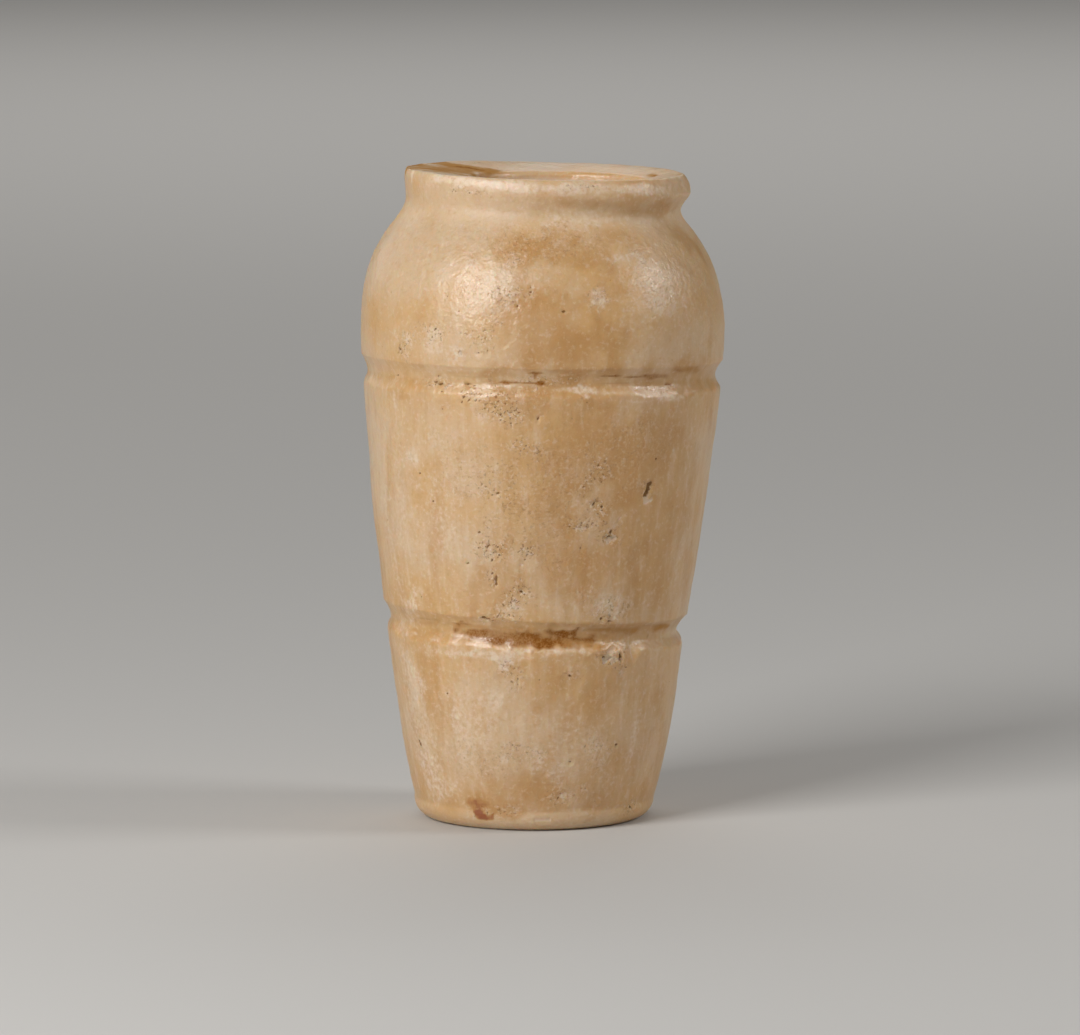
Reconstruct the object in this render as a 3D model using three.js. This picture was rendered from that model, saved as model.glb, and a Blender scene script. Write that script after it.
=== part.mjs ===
// A canopic jar without its lid, carved and hollowed from one block of calcite alabaster.
// The body tapers to a small flat foot, swells to a full shoulder and is cut by two grooves.
// A short neck carries a thick rolled rim, and the bore through it sits off the axis.
// Millimetres, +Z up. The origin is the centre of the flat underside, and the front is -Y.
import * as THREE from "three";

// Heights, each measured up from the level before it, in the order that the wall climbs.
const FOOT_EDGE_HEIGHT = 6.6; // underside to the top of the foot's rounded edge
const LOWER_ZONE_HEIGHT = 63.0; // to the deepest line of the lower groove
const MIDDLE_ZONE_HEIGHT = 88.9; // to the deepest line of the upper groove
const BELLY_HEIGHT = 17.0; // to the widest level
const SHOULDER_HEIGHT = 32.6; // to the level where the shoulder turns hollow
const NECK_HEIGHT = 9.6; // to the narrowest line of the neck
const ROLL_HEIGHT = 7.2; // to the widest line of the rolled rim
const CROWN_HEIGHT = 4.8; // to the crown, the highest line of the lip

// Outside radii at those levels. The two groove radii are those of the wall before the cut.
const FOOT_FLAT_RADIUS = 35.8;
const FOOT_RADIUS = 42.6;
const LOWER_GROOVE_RADIUS = 53.45;
const UPPER_GROOVE_RADIUS = 63.7;
const BELLY_RADIUS = 64.6;
const SHOULDER_RADIUS = 54.8;
const NECK_RADIUS = 48.8;
const ROLL_RADIUS = 50.8;
const CROWN_RADIUS = 48.5;

// How steeply the wall opens at the foot and closes at the shoulder, sideways for each unit up.
const FOOT_SLOPE = 0.27;
const SHOULDER_SLOPE = -0.68;

// The grooves: full width and depth, and how much deeper the +X side is cut, as a share.
const LOWER_GROOVE_WIDTH = 11.0;
const LOWER_GROOVE_DEPTH = 2.4;
const UPPER_GROOVE_WIDTH = 10.6;
const UPPER_GROOVE_DEPTH = 2.1;
const GROOVE_BIAS = 0.18;

// The hollow: the lip's width on its two sides sets the bore and how far it is off centre.
const LIP_WIDTH_LEFT = 24.2;
const LIP_WIDTH_RIGHT = 14.8;
const LIP_FALL = 2.2; // from the crown down to the edge of the bore
const BORE_BEVEL = 2.2; // worn edge of the bore
const BORE_LENGTH = 14.0; // straight part of the bore below its edge
const BELLY_WALL = 19.0;
const GROOVE_WALL = 17.0; // at the lower groove
const FOOT_WALL = 16.0; // where the inner floor starts to round
const FLOOR_THICKNESS = 18.0;
const FLOOR_ROUNDING = 14.0;

// The lean of the handwork: how far each level's centre has moved towards +X.
const LOWER_GROOVE_SHIFT = 0.45;
const BELLY_SHIFT = 3.2;
const SHOULDER_SHIFT = 2.5;
const NECK_SHIFT = 3.2;
const ROLL_SHIFT = 4.7;
const CROWN_SHIFT = 4.3;

// How far the levels dip towards +X and lift towards the front, in degrees.
const LOWER_GROOVE_DIP = 3.1;
const UPPER_GROOVE_DIP = 1.0;
const SHOULDER_DIP = 0.8;
const NECK_DIP = 2.2;
const ROLL_DIP = 3.2;
const CROWN_DIP = 1.4;
const LOWER_GROOVE_LIFT = 0.7;
const UPPER_GROOVE_LIFT = 1.2;

// Small waves of a wall dressed by hand, as shares of its radius. They turn slowly as they climb.
const OVAL_SHARE = 0.006;
const WAVE_SHARE = 0.0025;
const WAVES_ROUND = 5;
const WAVE_TURN_HEIGHT = 190; // the height in which the waves turn once round

// How hollow the upper side of a groove and the top of the lip are, where 1 is straight.
const GROOVE_HOLLOW = 1.7;
const LIP_HOLLOW = 1.5;

const SIDES = 60;

// Heights of the levels above the underside.
const lowerGroove = FOOT_EDGE_HEIGHT + LOWER_ZONE_HEIGHT;
const upperGroove = lowerGroove + MIDDLE_ZONE_HEIGHT;
const belly = upperGroove + BELLY_HEIGHT;
const shoulder = belly + SHOULDER_HEIGHT;
const neck = shoulder + NECK_HEIGHT;
const roll = neck + ROLL_HEIGHT;
const crown = roll + CROWN_HEIGHT;
const boreEdge = crown - LIP_FALL;
const boreTop = boreEdge - BORE_BEVEL;
const boreEnd = boreTop - BORE_LENGTH;
const floorEdge = FLOOR_THICKNESS + FLOOR_ROUNDING;

// The bore, from the widths of the lip around it.
const boreRadius = ROLL_RADIUS - (LIP_WIDTH_LEFT + LIP_WIDTH_RIGHT) / 2;
const boreShift = ROLL_SHIFT + (LIP_WIDTH_LEFT - LIP_WIDTH_RIGHT) / 2;

const fullTurn = 2 * Math.PI;
const quarter = Math.PI / 2;
const mix = (from, to, share) => from + (to - from) * share;
const slopeOf = (degrees) => Math.tan((degrees * Math.PI) / 180);

// A smooth curve through levels. Each is [height, value], or [height, value, slope] where the
// slope is given. It never swings past the values of its levels.
function curveThrough(levels) {
  const steps = levels.slice(1).map(([h, v], i) => (v - levels[i][1]) / (h - levels[i][0]));
  const slopes = levels.map(([, , given], i) => {
    const below = steps[Math.max(i - 1, 0)];
    const above = steps[Math.min(i, steps.length - 1)];
    const smooth = below * above > 0 ? (2 * below * above) / (below + above) : 0;
    return given ?? smooth;
  });
  return (height) => {
    let i = 0;
    while (i < levels.length - 2 && height > levels[i + 1][0]) i += 1;
    const span = levels[i + 1][0] - levels[i][0];
    const t = THREE.MathUtils.clamp((height - levels[i][0]) / span, 0, 1);
    const start = (1 + 2 * t) * (1 - t) ** 2 * levels[i][1] + t * (1 - t) ** 2 * span * slopes[i];
    const end = t * t * (3 - 2 * t) * levels[i + 1][1] + t * t * (t - 1) * span * slopes[i + 1];
    return start + end;
  };
}

const wallRadius = curveThrough([
  [FOOT_EDGE_HEIGHT, FOOT_RADIUS, FOOT_SLOPE],
  [lowerGroove, LOWER_GROOVE_RADIUS],
  [upperGroove, UPPER_GROOVE_RADIUS],
  [belly, BELLY_RADIUS, 0],
  [shoulder, SHOULDER_RADIUS, SHOULDER_SLOPE],
  [neck, NECK_RADIUS, 0],
  [roll, ROLL_RADIUS, 0],
]);

const wallShift = curveThrough([
  [0, 0],
  [lowerGroove, LOWER_GROOVE_SHIFT],
  [belly, BELLY_SHIFT],
  [shoulder, SHOULDER_SHIFT],
  [neck, NECK_SHIFT],
  [roll, ROLL_SHIFT],
  [crown, CROWN_SHIFT],
]);

const wallDip = curveThrough([
  [0, 0],
  [lowerGroove, LOWER_GROOVE_DIP],
  [upperGroove, UPPER_GROOVE_DIP],
  [shoulder, SHOULDER_DIP],
  [neck, NECK_DIP],
  [roll, ROLL_DIP],
]);

const wallLift = curveThrough([
  [0, 0],
  [lowerGroove, LOWER_GROOVE_LIFT],
  [upperGroove, UPPER_GROOVE_LIFT],
  [neck, 0],
]);

const hollowRadius = curveThrough([
  [floorEdge, wallRadius(floorEdge) - FOOT_WALL],
  [lowerGroove, LOWER_GROOVE_RADIUS - GROOVE_WALL],
  [belly, BELLY_RADIUS - BELLY_WALL, 0],
  [boreEnd, boreRadius, 0],
]);

const hollowShift = curveThrough([
  [FLOOR_THICKNESS, 0],
  [belly, BELLY_SHIFT],
  [boreEnd, boreShift],
]);

const hollowDip = curveThrough([
  [belly, 0],
  [boreEnd, CROWN_DIP],
]);

// Depth of a groove at a height from its deepest line. Below that line the side comes up
// softly into the wall, and above it the side ends in a clear edge.
function grooveCut(height, middle, width, depth) {
  const s = (height - middle) / (width / 2);
  if (Math.abs(s) >= 1) return 0;
  return depth * (s > 0 ? 1 - s ** GROOVE_HOLLOW : Math.cos(s * quarter) ** 2);
}

// Evenly spaced heights after the first, up to and with the last.
function rowsBetween(first, last, count) {
  return Array.from({ length: count }, (_, i) => mix(first, last, (i + 1) / count));
}

// One level line of the surface, at its radius, height, shift, dip and lift. The share of the
// hand-dressed waves that it takes runs from 0 for a true circle to 1.
function ringAt(radius, height, shift, dip, lift, uneven) {
  const turned = (height / WAVE_TURN_HEIGHT) * fullTurn;
  return Array.from({ length: SIDES }, (_, i) => {
    const angle = (i / SIDES) * fullTurn;
    const oval = OVAL_SHARE * Math.sin(2 * angle);
    const wave = WAVE_SHARE * Math.sin(WAVES_ROUND * angle + turned);
    const reach = radius * (1 + uneven * (oval + wave));
    const east = reach * Math.cos(angle);
    const north = reach * Math.sin(angle);
    return [shift + east, north, height - east * slopeOf(dip) - north * slopeOf(lift)];
  });
}

function wallRing(height) {
  const low = grooveCut(height, lowerGroove, LOWER_GROOVE_WIDTH, LOWER_GROOVE_DEPTH);
  const high = grooveCut(height, upperGroove, UPPER_GROOVE_WIDTH, UPPER_GROOVE_DEPTH);
  const shift = wallShift(height) - (low + high) * GROOVE_BIAS;
  const radius = wallRadius(height) - low - high;
  return ringAt(radius, height, shift, wallDip(height), wallLift(height), 1);
}

// The flat underside and the rounded edge of the foot.
function footRings() {
  const flat = [FOOT_FLAT_RADIUS / 2, FOOT_FLAT_RADIUS].map((r) => ringAt(r, 0, 0, 0, 0, 0));
  const edge = rowsBetween(0, quarter, 4).map((turn) => {
    const radius = mix(FOOT_FLAT_RADIUS, FOOT_RADIUS, Math.sin(turn));
    const height = FOOT_EDGE_HEIGHT * (1 - Math.cos(turn));
    const grown = height / FOOT_EDGE_HEIGHT;
    return ringAt(radius, height, wallShift(height), wallDip(height), wallLift(height), grown);
  });
  return [...flat, ...edge];
}

// The outside from the foot to the widest line of the rim, with close rows in the grooves.
function wallRings() {
  const lowHalf = LOWER_GROOVE_WIDTH / 2;
  const highHalf = UPPER_GROOVE_WIDTH / 2;
  return [
    ...rowsBetween(FOOT_EDGE_HEIGHT, lowerGroove - lowHalf, 6),
    ...rowsBetween(lowerGroove - lowHalf, lowerGroove, 4),
    ...rowsBetween(lowerGroove, lowerGroove + lowHalf, 4),
    ...rowsBetween(lowerGroove + lowHalf, upperGroove - highHalf, 7),
    ...rowsBetween(upperGroove - highHalf, upperGroove, 4),
    ...rowsBetween(upperGroove, upperGroove + highHalf, 4),
    ...rowsBetween(upperGroove + highHalf, belly, 2),
    ...rowsBetween(belly, shoulder, 7),
    ...rowsBetween(shoulder, neck, 4),
    ...rowsBetween(neck, roll, 3),
  ].map(wallRing);
}

// Over the rolled rim to its crown, then down the slope of the lip and the edge of the bore.
function lipRings() {
  const over = rowsBetween(0, quarter, 5).map((turn) => {
    const radius = mix(CROWN_RADIUS, ROLL_RADIUS, Math.cos(turn));
    const height = mix(roll, crown, Math.sin(turn));
    const shift = mix(CROWN_SHIFT, ROLL_SHIFT, Math.cos(turn));
    return ringAt(radius, height, shift, mix(CROWN_DIP, ROLL_DIP, Math.cos(turn)), 0, 1);
  });
  const inward = rowsBetween(0, 1, 3).map((share) => {
    const radius = mix(CROWN_RADIUS, boreRadius + BORE_BEVEL, share);
    const height = crown - LIP_FALL * share ** LIP_HOLLOW;
    return ringAt(radius, height, mix(CROWN_SHIFT, boreShift, share), CROWN_DIP, 0, 1 - share);
  });
  const edge = rowsBetween(0, quarter, 2).map((turn) => {
    const radius = boreRadius + BORE_BEVEL * (1 - Math.sin(turn));
    const height = boreEdge - BORE_BEVEL * (1 - Math.cos(turn));
    return ringAt(radius, height, boreShift, CROWN_DIP, 0, 0);
  });
  return [...over, ...inward, ...edge];
}

// The inside from the bore down to the rounded floor.
function hollowRings() {
  const bore = rowsBetween(boreTop, boreEnd, 2).map((height) => {
    return ringAt(boreRadius, height, boreShift, CROWN_DIP, 0, 0);
  });
  const wall = [
    ...rowsBetween(boreEnd, belly, 5),
    ...rowsBetween(belly, lowerGroove, 4),
    ...rowsBetween(lowerGroove, floorEdge, 3),
  ].map((height) => {
    return ringAt(hollowRadius(height), height, hollowShift(height), hollowDip(height), 0, 0);
  });
  const floorRadius = hollowRadius(floorEdge);
  const floor = rowsBetween(0, quarter, 4).map((turn) => {
    const radius = floorRadius - FLOOR_ROUNDING * (1 - Math.cos(turn));
    const height = floorEdge - FLOOR_ROUNDING * Math.sin(turn);
    return ringAt(radius, height, hollowShift(height), 0, 0, 0);
  });
  return [...bore, ...wall, ...floor];
}

// One closed surface from the middle of the underside, over the lip, to the middle of the floor.
function jarGeometry() {
  const rings = [...footRings(), ...wallRings(), ...lipRings(), ...hollowRings()];
  const points = [...rings.flat(), [0, 0, 0], [0, 0, FLOOR_THICKNESS]];
  const underside = points.length - 2;
  const floor = points.length - 1;
  const faces = [];
  for (let side = 0; side < SIDES; side += 1) {
    const next = (side + 1) % SIDES;
    const top = (rings.length - 1) * SIDES;
    faces.push(underside, next, side, top + side, top + next, floor);
    for (let row = 0; row < top; row += SIDES) {
      const above = row + SIDES;
      faces.push(row + side, row + next, above + next);
      faces.push(row + side, above + next, above + side);
    }
  }
  const geometry = new THREE.BufferGeometry();
  geometry.setAttribute("position", new THREE.Float32BufferAttribute(points.flat(), 3));
  geometry.setIndex(faces);
  geometry.computeVertexNormals();
  return geometry;
}

const alabaster = new THREE.MeshStandardMaterial({
  color: 0xcfa878,
  roughness: 0.45,
  metalness: 0,
});

const jar = new THREE.Mesh(jarGeometry(), alabaster);
jar.name = "jar";

const canopicJar = new THREE.Group();
canopicJar.add(jar);

export default canopicJar;
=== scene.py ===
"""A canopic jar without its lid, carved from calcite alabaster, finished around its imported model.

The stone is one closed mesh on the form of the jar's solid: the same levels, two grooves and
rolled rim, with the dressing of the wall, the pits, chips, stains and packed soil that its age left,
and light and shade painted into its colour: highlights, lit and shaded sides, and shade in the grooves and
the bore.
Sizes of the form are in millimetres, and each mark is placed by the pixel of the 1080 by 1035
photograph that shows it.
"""

import math
from collections import namedtuple

import bpy
import numpy as np
from mathutils import Euler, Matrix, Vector, noise


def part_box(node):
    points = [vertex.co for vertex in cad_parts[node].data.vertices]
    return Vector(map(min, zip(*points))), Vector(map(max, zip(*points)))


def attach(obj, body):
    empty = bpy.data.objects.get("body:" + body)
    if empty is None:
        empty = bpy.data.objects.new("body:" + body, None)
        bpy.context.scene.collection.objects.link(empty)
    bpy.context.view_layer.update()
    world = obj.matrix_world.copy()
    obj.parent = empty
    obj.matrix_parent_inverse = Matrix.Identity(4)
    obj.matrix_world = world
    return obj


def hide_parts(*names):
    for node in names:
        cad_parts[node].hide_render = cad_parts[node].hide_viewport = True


bl_info = {
    "name": "Alabaster Canopic Jar",
    "version": (1, 0, 0),
    "blender": (4, 5, 0),
    "location": "3D View > Sidebar > Canopic Jar",
    "description": "Builds the dressed and weathered stone of a lidless canopic jar and its stage",
    "category": "Add Mesh",
}

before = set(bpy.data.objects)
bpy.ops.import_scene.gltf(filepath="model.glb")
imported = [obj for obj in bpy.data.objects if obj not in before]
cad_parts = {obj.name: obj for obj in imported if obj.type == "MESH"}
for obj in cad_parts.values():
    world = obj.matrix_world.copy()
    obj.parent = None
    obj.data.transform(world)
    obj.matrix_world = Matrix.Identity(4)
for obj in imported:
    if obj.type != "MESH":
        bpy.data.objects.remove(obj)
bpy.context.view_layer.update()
JAR_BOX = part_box("jar")

# Heights of the form's levels above the underside, in millimetres.
FOOT_EDGE = 6.6
LOWER_GROOVE = 69.6
UPPER_GROOVE = 158.5
BELLY = 175.5
SHOULDER = 208.1
NECK = 217.7
ROLL = 224.9
CROWN = 229.7
BORE_EDGE = 227.5
BORE_TOP = 225.3
BORE_END = 211.3
FLOOR_EDGE = 32.0
FLOOR = 18.0

# Radii at those levels, and the wall's lean at two of them, in millimetres.
FOOT_FLAT_RADIUS = 35.8
FOOT_RADIUS = 42.6
FOOT_SLOPE = 0.27
LOWER_GROOVE_RADIUS = 53.45
UPPER_GROOVE_RADIUS = 63.7
BELLY_RADIUS = 64.6
SHOULDER_RADIUS = 54.8
SHOULDER_SLOPE = -0.68
NECK_RADIUS = 48.8
ROLL_RADIUS = 50.8
CROWN_RADIUS = 48.5
BORE_RADIUS = 31.3
BORE_BEVEL = 2.2
FLOOR_ROUNDING = 14.0

# Thickness of the wall round the hollow, in millimetres.
FOOT_WALL = 16.0
GROOVE_WALL = 17.0
BELLY_WALL = 19.0

# How far the centre of a level has moved towards +X, in millimetres, and how far the level dips
# towards +X and towards +Y, in degrees.
LOWER_GROOVE_SHIFT = 0.45
BELLY_SHIFT = 3.2
SHOULDER_SHIFT = 2.5
NECK_SHIFT = 3.2
ROLL_SHIFT = 4.7
CROWN_SHIFT = 4.3
BORE_SHIFT = 9.4
LOWER_GROOVE_DIP = 3.1
UPPER_GROOVE_DIP = 1.0
SHOULDER_DIP = 0.8
NECK_DIP = 2.2
ROLL_DIP = 3.2
CROWN_DIP = 1.4
LOWER_GROOVE_LIFT = 0.7
UPPER_GROOVE_LIFT = 1.2

# Small waves of the hand-dressed wall, as shares of its radius.
OVAL_SHARE = 0.006
WAVE_SHARE = 0.0025
WAVES_ROUND = 5
WAVE_TURN_HEIGHT = 190

# The middle height, width and depth of a groove in millimetres, how much its lower edge wanders,
# and the seed of that. Then how much deeper a groove is cut on its +X side, as a share of its
# depth, and the powers that round a groove's upper side and the slope of the lip.
Groove = namedtuple("Groove", "height width depth wander seed")
GROOVES = (
    Groove(LOWER_GROOVE, 11.0, 2.4, 0.9, 11),
    Groove(UPPER_GROOVE, 10.6, 2.1, 0.6, 23),
)
GROOVE_BIAS = 0.18
GROOVE_HOLLOW = 1.7
LIP_HOLLOW = 1.5

# The surface's own points: how many stand round the jar, how much closer they stand at the
# front than at the back, and the step from row to row in millimetres.
COLUMNS = 272
FRONT_CLOSENESS = 0.55
WALL_STEP = 0.95
GROOVE_STEP = 0.5
SHOULDER_STEP = 0.85
NECK_STEP = 0.65
BORE_STEP = 2.0
SHOULDER_HOLLOW_STEP = 3.0
HOLLOW_STEP = 5.0

# How far the dressed skin lies inside the form at least, how far a pit's field spreads beyond
# its edge, in millimetres, and how many small pits the back has.
SKIN_INSET = 0.1
PIT_SPREAD = 2.0
BACK_PITS = 70

# Where a patch, a pit or a flake fades out, as shares of its radius, and how ragged its outline is.
PATCH_FADE = (0.25, 1.35)
PATCH_RAG = 0.45
PIT_FADE = (0.4, 1.5)
PIT_RAG = 0.12
CHIP_FADE = (0.55, 1.1)
CHIP_RAG = 0.5

# The camera that took the photograph, in the form's millimetres, and its picture in pixels.
CAMERA_AT = (2.14, -2536.0, 399.3)
CAMERA_PITCH = math.radians(6.59)
PHOTO_WIDTH = 1080
PHOTO_HEIGHT = 1035
FOCAL_PIXELS = 7200
SENSOR_WIDTH = 36
CAMERA_REACH = 100.0

# A softbox: how far it is turned from the camera's side and raised, in degrees, and its distance
# and width in metres. The one on the left edge has a fixed power in watts.
Softbox = namedtuple("Softbox", "name side climb away width")
KEY_BOX = Softbox("key_softbox", -41, 27, 1.8, 0.85)
SIDE_BOX = Softbox("side_softbox", 84, 28, 1.8, 0.55)
EDGE_BOX = Softbox("left_edge_softbox", -140, 15, 1.8, 0.6)
BACKDROP_BOX = Softbox("backdrop_softbox", 0, 90, 3.0, 4.0)
EDGE_POWER = 1.0
FLOOR_SIDES = 96

FULL_TURN = 2 * math.pi
QUARTER = math.pi / 2

# A mark on the stone: the pixel of its middle, its size in millimetres across and along the
# wall, how far it is turned clockwise in degrees, and how strong it is.
Mark = namedtuple("Mark", "x y across along turn strength", defaults=(0, 1.0))

# Dark pits and short cracks where the grain has broken out.
PITS = (
    Mark(648, 490, 1.2, 5.0, 6, 1.0),
    Mark(652, 485, 1.7, 1.8, 0, 0.9),
    Mark(646, 496, 1.0, 2.2, 0, 0.8),
    Mark(595, 505, 0.7, 2.0, 20, 0.8),
    Mark(598, 502, 2.2, 0.6, 0, 0.7),
    Mark(602, 507, 0.8, 1.8, -20, 0.9),
    Mark(612, 532, 0.8, 1.8, 15, 0.8),
    Mark(608, 536, 1.6, 0.7, -20, 0.7),
    Mark(583, 525, 0.6, 1.3, 10, 0.7),
    Mark(588, 529, 1.3, 0.5, 0, 0.6),
    Mark(581, 547, 0.6, 1.2, 0, 0.7),
    Mark(599, 465, 0.7, 1.1, 0, 0.7),
    Mark(603, 482, 0.6, 0.9, 0, 0.6),
    Mark(657, 459, 0.8, 0.8, 0, 0.7),
    Mark(497, 493, 1.2, 1.0, 0, 0.9),
    Mark(431, 502, 0.9, 0.8, 0, 0.8),
    Mark(420, 474, 0.8, 1.3, 0, 0.7),
    Mark(480, 532, 0.9, 1.2, 0, 0.7),
    Mark(467, 564, 1.4, 0.8, -30, 0.9),
    Mark(488, 547, 0.7, 2.4, 12, 0.7),
    Mark(495, 553, 1.5, 0.8, 20, 0.8),
    Mark(500, 556, 1.0, 0.7, 0, 0.8),
    Mark(486, 558, 1.1, 0.6, 0, 0.7),
    Mark(492, 561, 0.7, 1.1, 0, 0.7),
    Mark(497, 547, 0.6, 0.8, 0, 0.6),
    Mark(528, 553, 0.8, 0.8, 0, 0.6),
    Mark(524, 560, 0.7, 1.0, 0, 0.6),
    Mark(495, 579, 0.8, 3.4, 0, 0.9),
    Mark(492, 573, 0.7, 1.6, 20, 0.6),
    Mark(496, 586, 0.8, 0.8, 0, 0.8),
    Mark(521, 593, 1.1, 1.0, 0, 1.0),
    Mark(509, 597, 0.7, 0.7, 0, 0.6),
    Mark(508, 604, 0.6, 0.7, 0, 0.5),
    Mark(509, 616, 0.8, 1.0, 0, 0.7),
    Mark(483, 618, 1.4, 1.7, -30, 1.0),
    Mark(487, 621, 1.8, 0.9, -35, 0.9),
    Mark(420, 598, 0.8, 0.9, 0, 0.8),
    Mark(500, 409, 0.6, 1.0, 0, 0.8),
    Mark(501, 416, 0.9, 0.8, 0, 0.8),
    Mark(505, 412, 0.6, 1.0, 15, 0.7),
    Mark(510, 414, 1.4, 0.7, 0, 0.9),
    Mark(518, 414, 1.2, 0.6, 0, 0.6),
    Mark(501, 421, 0.7, 0.7, 0, 0.8),
    Mark(510, 423, 0.8, 1.2, -15, 0.9),
    Mark(538, 418, 0.8, 1.8, 12, 0.8),
    Mark(573, 418, 0.7, 0.7, 0, 0.5),
    Mark(587, 403, 0.8, 0.6, 0, 0.6),
    Mark(515, 443, 0.6, 0.7, 0, 0.4),
    Mark(525, 447, 0.8, 0.6, 0, 0.4),
    Mark(467, 384, 2.2, 0.9, 0, 1.0),
    Mark(470, 387, 1.0, 0.6, 0, 0.8),
    Mark(462, 391, 0.4, 2.8, 0, 0.7),
    Mark(464, 398, 1.6, 0.8, -45, 0.8),
    Mark(468, 401, 1.6, 0.7, -50, 0.9),
    Mark(461, 402, 0.5, 1.4, 25, 0.6),
    Mark(475, 400, 0.5, 1.6, 15, 0.7),
    Mark(477, 393, 0.4, 2.0, -10, 0.6),
    Mark(474, 386, 1.2, 0.4, 0, 0.6),
    Mark(436, 382, 1.6, 0.8, 0, 0.8),
    Mark(441, 384, 1.8, 0.9, -10, 0.9),
    Mark(437, 377, 0.8, 1.0, 0, 0.6),
    Mark(442, 391, 0.8, 0.7, 0, 0.4),
    Mark(441, 410, 1.0, 0.9, 0, 0.4),
    Mark(396, 376, 1.2, 0.7, -20, 0.5),
    Mark(399, 345, 0.5, 2.6, 8, 0.6),
    Mark(401, 348, 1.4, 0.5, -10, 0.5),
    Mark(399, 351, 1.4, 0.6, -20, 0.6),
    Mark(478, 353, 0.8, 0.8, 0, 0.7),
    Mark(486, 350, 0.4, 2.6, -10, 0.6),
    Mark(484, 330, 0.5, 1.6, 15, 0.5),
    Mark(434, 328, 0.9, 1.1, 0, 0.7),
    Mark(440, 334, 0.9, 0.7, -30, 0.5),
    Mark(445, 295, 0.7, 0.8, 0, 0.6),
    Mark(459, 311, 0.8, 0.6, 0, 0.5),
    Mark(531, 286, 0.7, 1.1, 0, 0.7),
    Mark(530, 292, 0.9, 0.8, 0, 0.6),
    Mark(499, 288, 2.0, 0.5, 0, 0.4),
    Mark(501, 294, 1.4, 0.6, -30, 0.4),
    Mark(517, 306, 0.7, 0.9, 0, 0.9),
    Mark(564, 311, 1.3, 1.3, 0, 0.6),
    Mark(469, 194, 0.9, 0.8, -20, 0.8),
    Mark(466, 192, 0.7, 0.6, 0, 0.6),
    Mark(452, 192, 0.6, 0.6, 0, 0.5),
    Mark(583, 185, 0.8, 0.6, 0, 0.5),
    Mark(602, 620, 0.9, 1.2, 0, 0.9),
    Mark(604, 659, 1.3, 0.9, 0, 0.7),
    Mark(622, 658, 1.0, 3.6, -6, 1.0),
    Mark(625, 651, 0.9, 0.6, 0, 0.7),
    Mark(617, 669, 0.5, 2.6, 0, 0.6),
    Mark(627, 667, 1.5, 0.5, 0, 0.6),
    Mark(419, 746, 1.5, 1.7, 0, 1.0),
    Mark(418, 742, 0.9, 1.6, -20, 0.9),
    Mark(447, 695, 0.9, 0.8, 0, 0.7),
    Mark(517, 684, 0.4, 3.4, 0, 0.7),
    Mark(517, 679, 0.5, 1.0, 0, 0.6),
    Mark(512, 746, 0.9, 0.8, 0, 0.7),
    Mark(571, 677, 0.8, 1.8, -28, 0.7),
    Mark(571, 762, 1.2, 0.8, -20, 0.6),
    Mark(586, 746, 0.5, 1.6, 18, 0.6),
    Mark(558, 686, 0.6, 0.5, 0, 0.4),
    Mark(540, 680, 0.5, 0.6, 0, 0.4),
    Mark(558, 799, 0.5, 1.4, 30, 0.5),
    Mark(630, 807, 1.4, 1.6, 0, 0.5),
    Mark(644, 441, 0.5, 0.7, 0, 0.4),
)

# Dirt packed along the grooves and in a few hollows, and painted shadow in the left of the bore and on the
# left of the lip.
DIRT_AND_SHADE = (
    Mark(498, 640, 6.5, 3.6, -4, 0.8),
    Mark(474, 634, 7.0, 2.6, -3, 0.5),
    Mark(530, 636, 9.0, 2.4, 0, 0.9),
    Mark(545, 641, 12.0, 3.0, 0, 0.8),
    Mark(560, 634, 9.0, 3.0, 0, 1.0),
    Mark(540, 645, 7.0, 1.8, 0, 0.8),
    Mark(575, 639, 10.0, 1.4, 0, 0.7),
    Mark(524, 639, 50.0, 6.5, 0, 0.55),
    Mark(524, 642, 30.0, 5.0, 0, 0.5),
    Mark(590, 640, 10.0, 0.9, 2, 0.6),
    Mark(512, 383, 7.0, 1.0, 0, 0.7),
    Mark(503, 383, 3.0, 0.9, 0, 0.7),
    Mark(530, 383, 8.0, 0.9, 0, 0.8),
    Mark(541, 383, 2.6, 1.5, -15, 1.0),
    Mark(535, 373, 3.6, 0.9, 0, 0.8),
    Mark(535, 378, 0.8, 1.6, 0, 0.6),
    Mark(492, 384, 3.0, 1.0, 0, 0.5),
    Mark(612, 376, 9.0, 1.1, 0, 0.8),
    Mark(632, 377, 9.0, 1.3, 0, 0.7),
    Mark(668, 385, 5.0, 1.4, 5, 0.9),
    Mark(655, 377, 14.0, 2.6, 3, 0.6),
    Mark(680, 372, 8.0, 2.0, 12, 0.5),
    Mark(620, 383, 12.0, 0.6, 0, 0.4),
    # Painted shadow: the diagonal edge of the shadow the lip casts into the left of the bore, and shade on
    # the left of the lip.
    Mark(471, 165, 5.0, 12.0, -20, 0.9),
    Mark(452, 163, 14.0, 4.0, 12, 0.5),
    Mark(655, 172, 5.0, 3.0, 0, 0.7),
    Mark(470, 377, 14.0, 1.6, 0, 0.3),
    Mark(460, 624, 12.0, 0.9, -4, 0.5),
    Mark(425, 619, 12.0, 1.2, -5, 0.4),
    Mark(620, 631, 14.0, 1.6, 3, 0.35),
    Mark(650, 626, 10.0, 1.2, 4, 0.35),
)

# Rust-red stains that go deep, and the orange round them.
RUST = (
    Mark(483, 815, 4.0, 2.6, 10, 1.0),
    Mark(480, 811, 1.2, 3.0, -20, 0.9),
    Mark(486, 820, 6.0, 1.6, 0, 0.7),
    Mark(478, 803, 9.0, 5.0, 0, 0.6),
    Mark(505, 812, 12.0, 4.0, 0, 0.3),
    Mark(494, 762, 2.4, 4.0, 0, 0.35),
    Mark(699, 352, 3.0, 4.0, 0, 0.3),
    Mark(685, 365, 10.0, 6.0, 0, 0.25),
)

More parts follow.
